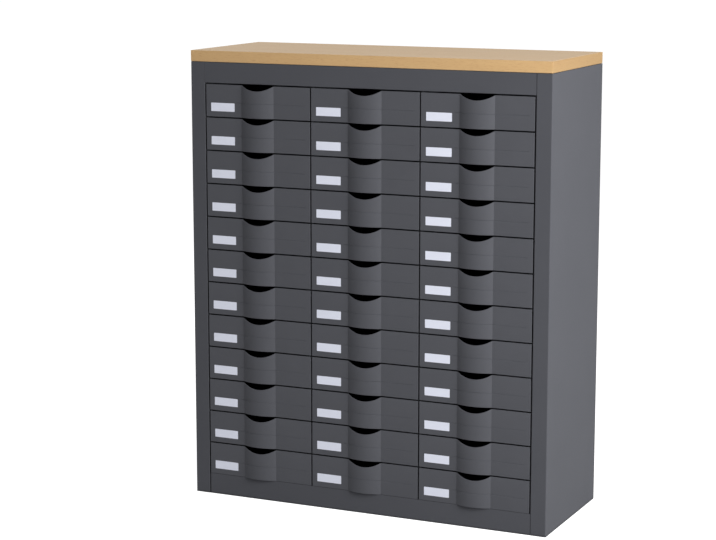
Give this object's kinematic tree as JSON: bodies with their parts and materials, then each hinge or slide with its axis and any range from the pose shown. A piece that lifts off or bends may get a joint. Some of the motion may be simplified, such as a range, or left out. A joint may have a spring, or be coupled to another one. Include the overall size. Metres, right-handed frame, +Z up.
{
  "type": "office drawer unit",
  "caption": "Floor-standing steel office drawer unit with a beech-effect worktop and columns of shallow sliding document drawers with bowed finger grips and label seats.",
  "frame": {"origin": "middle of the unit's whole footprint, on the floor", "axes": "+Z up, -Y towards the drawer fronts, +X to the right as seen from the front"},
  "size_m": [0.8532, 0.3356, 1.0169],
  "materials": {
    "painted_steel": "anthracite powder coat, satin",
    "drawer_plastic": "anthracite moulded plastic, fine satin",
    "beech_board": "beech-effect laminate, satin",
    "plated_steel": "zinc plated"
  },
  "bodies": {
    "carcass": {"worktop": "beech_board", "worktop_screw_1": "plated_steel", "worktop_screw_2": "plated_steel", "worktop_screw_3": "plated_steel", "worktop_screw_4": "plated_steel", "left_side_panel": "painted_steel", "right_side_panel": "painted_steel", "top_panel": "painted_steel", "base_panel": "painted_steel", "plinth": "painted_steel", "back_panel": "painted_steel", "partition_1": "painted_steel", "partition_2": "painted_steel", "runner_left_l": "painted_steel", "runner_left_r": "painted_steel", "runner_middle_l": "painted_steel", "runner_middle_r": "painted_steel", "runner_right_l": "painted_steel", "runner_right_r": "painted_steel"},
    "drawer_left_01": {"drawer_left_01": "drawer_plastic"},
    "drawer_left_02": {"drawer_left_02": "drawer_plastic"},
    "drawer_left_03": {"drawer_left_03": "drawer_plastic"},
    "drawer_left_04": {"drawer_left_04": "drawer_plastic"},
    "drawer_left_05": {"drawer_left_05": "drawer_plastic"},
    "drawer_left_06": {"drawer_left_06": "drawer_plastic"},
    "drawer_left_07": {"drawer_left_07": "drawer_plastic"},
    "drawer_left_08": {"drawer_left_08": "drawer_plastic"},
    "drawer_left_09": {"drawer_left_09": "drawer_plastic"},
    "drawer_left_10": {"drawer_left_10": "drawer_plastic"},
    "drawer_left_11": {"drawer_left_11": "drawer_plastic"},
    "drawer_left_12": {"drawer_left_12": "drawer_plastic"},
    "drawer_middle_01": {"drawer_middle_01": "drawer_plastic"},
    "drawer_middle_02": {"drawer_middle_02": "drawer_plastic"},
    "drawer_middle_03": {"drawer_middle_03": "drawer_plastic"},
    "drawer_middle_04": {"drawer_middle_04": "drawer_plastic"},
    "drawer_middle_05": {"drawer_middle_05": "drawer_plastic"},
    "drawer_middle_06": {"drawer_middle_06": "drawer_plastic"},
    "drawer_middle_07": {"drawer_middle_07": "drawer_plastic"},
    "drawer_middle_08": {"drawer_middle_08": "drawer_plastic"},
    "drawer_middle_09": {"drawer_middle_09": "drawer_plastic"},
    "drawer_middle_10": {"drawer_middle_10": "drawer_plastic"},
    "drawer_middle_11": {"drawer_middle_11": "drawer_plastic"},
    "drawer_middle_12": {"drawer_middle_12": "drawer_plastic"},
    "drawer_right_01": {"drawer_right_01": "drawer_plastic"},
    "drawer_right_02": {"drawer_right_02": "drawer_plastic"},
    "drawer_right_03": {"drawer_right_03": "drawer_plastic"},
    "drawer_right_04": {"drawer_right_04": "drawer_plastic"},
    "drawer_right_05": {"drawer_right_05": "drawer_plastic"},
    "drawer_right_06": {"drawer_right_06": "drawer_plastic"},
    "drawer_right_07": {"drawer_right_07": "drawer_plastic"},
    "drawer_right_08": {"drawer_right_08": "drawer_plastic"},
    "drawer_right_09": {"drawer_right_09": "drawer_plastic"},
    "drawer_right_10": {"drawer_right_10": "drawer_plastic"},
    "drawer_right_11": {"drawer_right_11": "drawer_plastic"},
    "drawer_right_12": {"drawer_right_12": "drawer_plastic"}
  },
  "joints": [
    {"name": "drawer_left_01_slide", "type": "slide", "parent": "carcass", "child": "drawer_left_01", "axis": [0, -1, 0], "range_m": [0, 0.25]},
    {"name": "drawer_left_02_slide", "type": "slide", "parent": "carcass", "child": "drawer_left_02", "axis": [0, -1, 0], "range_m": [0, 0.25]},
    {"name": "drawer_left_03_slide", "type": "slide", "parent": "carcass", "child": "drawer_left_03", "axis": [0, -1, 0], "range_m": [0, 0.25]},
    {"name": "drawer_left_04_slide", "type": "slide", "parent": "carcass", "child": "drawer_left_04", "axis": [0, -1, 0], "range_m": [0, 0.25]},
    {"name": "drawer_left_05_slide", "type": "slide", "parent": "carcass", "child": "drawer_left_05", "axis": [0, -1, 0], "range_m": [0, 0.25]},
    {"name": "drawer_left_06_slide", "type": "slide", "parent": "carcass", "child": "drawer_left_06", "axis": [0, -1, 0], "range_m": [0, 0.25]},
    {"name": "drawer_left_07_slide", "type": "slide", "parent": "carcass", "child": "drawer_left_07", "axis": [0, -1, 0], "range_m": [0, 0.25]},
    {"name": "drawer_left_08_slide", "type": "slide", "parent": "carcass", "child": "drawer_left_08", "axis": [0, -1, 0], "range_m": [0, 0.25]},
    {"name": "drawer_left_09_slide", "type": "slide", "parent": "carcass", "child": "drawer_left_09", "axis": [0, -1, 0], "range_m": [0, 0.25]},
    {"name": "drawer_left_10_slide", "type": "slide", "parent": "carcass", "child": "drawer_left_10", "axis": [0, -1, 0], "range_m": [0, 0.25]},
    {"name": "drawer_left_11_slide", "type": "slide", "parent": "carcass", "child": "drawer_left_11", "axis": [0, -1, 0], "range_m": [0, 0.25]},
    {"name": "drawer_left_12_slide", "type": "slide", "parent": "carcass", "child": "drawer_left_12", "axis": [0, -1, 0], "range_m": [0, 0.25]},
    {"name": "drawer_middle_01_slide", "type": "slide", "parent": "carcass", "child": "drawer_middle_01", "axis": [0, -1, 0], "range_m": [0, 0.25]},
    {"name": "drawer_middle_02_slide", "type": "slide", "parent": "carcass", "child": "drawer_middle_02", "axis": [0, -1, 0], "range_m": [0, 0.25]},
    {"name": "drawer_middle_03_slide", "type": "slide", "parent": "carcass", "child": "drawer_middle_03", "axis": [0, -1, 0], "range_m": [0, 0.25]},
    {"name": "drawer_middle_04_slide", "type": "slide", "parent": "carcass", "child": "drawer_middle_04", "axis": [0, -1, 0], "range_m": [0, 0.25]},
    {"name": "drawer_middle_05_slide", "type": "slide", "parent": "carcass", "child": "drawer_middle_05", "axis": [0, -1, 0], "range_m": [0, 0.25]},
    {"name": "drawer_middle_06_slide", "type": "slide", "parent": "carcass", "child": "drawer_middle_06", "axis": [0, -1, 0], "range_m": [0, 0.25]},
    {"name": "drawer_middle_07_slide", "type": "slide", "parent": "carcass", "child": "drawer_middle_07", "axis": [0, -1, 0], "range_m": [0, 0.25]},
    {"name": "drawer_middle_08_slide", "type": "slide", "parent": "carcass", "child": "drawer_middle_08", "axis": [0, -1, 0], "range_m": [0, 0.25]},
    {"name": "drawer_middle_09_slide", "type": "slide", "parent": "carcass", "child": "drawer_middle_09", "axis": [0, -1, 0], "range_m": [0, 0.25]},
    {"name": "drawer_middle_10_slide", "type": "slide", "parent": "carcass", "child": "drawer_middle_10", "axis": [0, -1, 0], "range_m": [0, 0.25]},
    {"name": "drawer_middle_11_slide", "type": "slide", "parent": "carcass", "child": "drawer_middle_11", "axis": [0, -1, 0], "range_m": [0, 0.25]},
    {"name": "drawer_middle_12_slide", "type": "slide", "parent": "carcass", "child": "drawer_middle_12", "axis": [0, -1, 0], "range_m": [0, 0.25]},
    {"name": "drawer_right_01_slide", "type": "slide", "parent": "carcass", "child": "drawer_right_01", "axis": [0, -1, 0], "range_m": [0, 0.25]},
    {"name": "drawer_right_02_slide", "type": "slide", "parent": "carcass", "child": "drawer_right_02", "axis": [0, -1, 0], "range_m": [0, 0.25]},
    {"name": "drawer_right_03_slide", "type": "slide", "parent": "carcass", "child": "drawer_right_03", "axis": [0, -1, 0], "range_m": [0, 0.25]},
    {"name": "drawer_right_04_slide", "type": "slide", "parent": "carcass", "child": "drawer_right_04", "axis": [0, -1, 0], "range_m": [0, 0.25]},
    {"name": "drawer_right_05_slide", "type": "slide", "parent": "carcass", "child": "drawer_right_05", "axis": [0, -1, 0], "range_m": [0, 0.25]},
    {"name": "drawer_right_06_slide", "type": "slide", "parent": "carcass", "child": "drawer_right_06", "axis": [0, -1, 0], "range_m": [0, 0.25]},
    {"name": "drawer_right_07_slide", "type": "slide", "parent": "carcass", "child": "drawer_right_07", "axis": [0, -1, 0], "range_m": [0, 0.25]},
    {"name": "drawer_right_08_slide", "type": "slide", "parent": "carcass", "child": "drawer_right_08", "axis": [0, -1, 0], "range_m": [0, 0.25]},
    {"name": "drawer_right_09_slide", "type": "slide", "parent": "carcass", "child": "drawer_right_09", "axis": [0, -1, 0], "range_m": [0, 0.25]},
    {"name": "drawer_right_10_slide", "type": "slide", "parent": "carcass", "child": "drawer_right_10", "axis": [0, -1, 0], "range_m": [0, 0.25]},
    {"name": "drawer_right_11_slide", "type": "slide", "parent": "carcass", "child": "drawer_right_11", "axis": [0, -1, 0], "range_m": [0, 0.25]},
    {"name": "drawer_right_12_slide", "type": "slide", "parent": "carcass", "child": "drawer_right_12", "axis": [0, -1, 0], "range_m": [0, 0.25]}
  ]
}
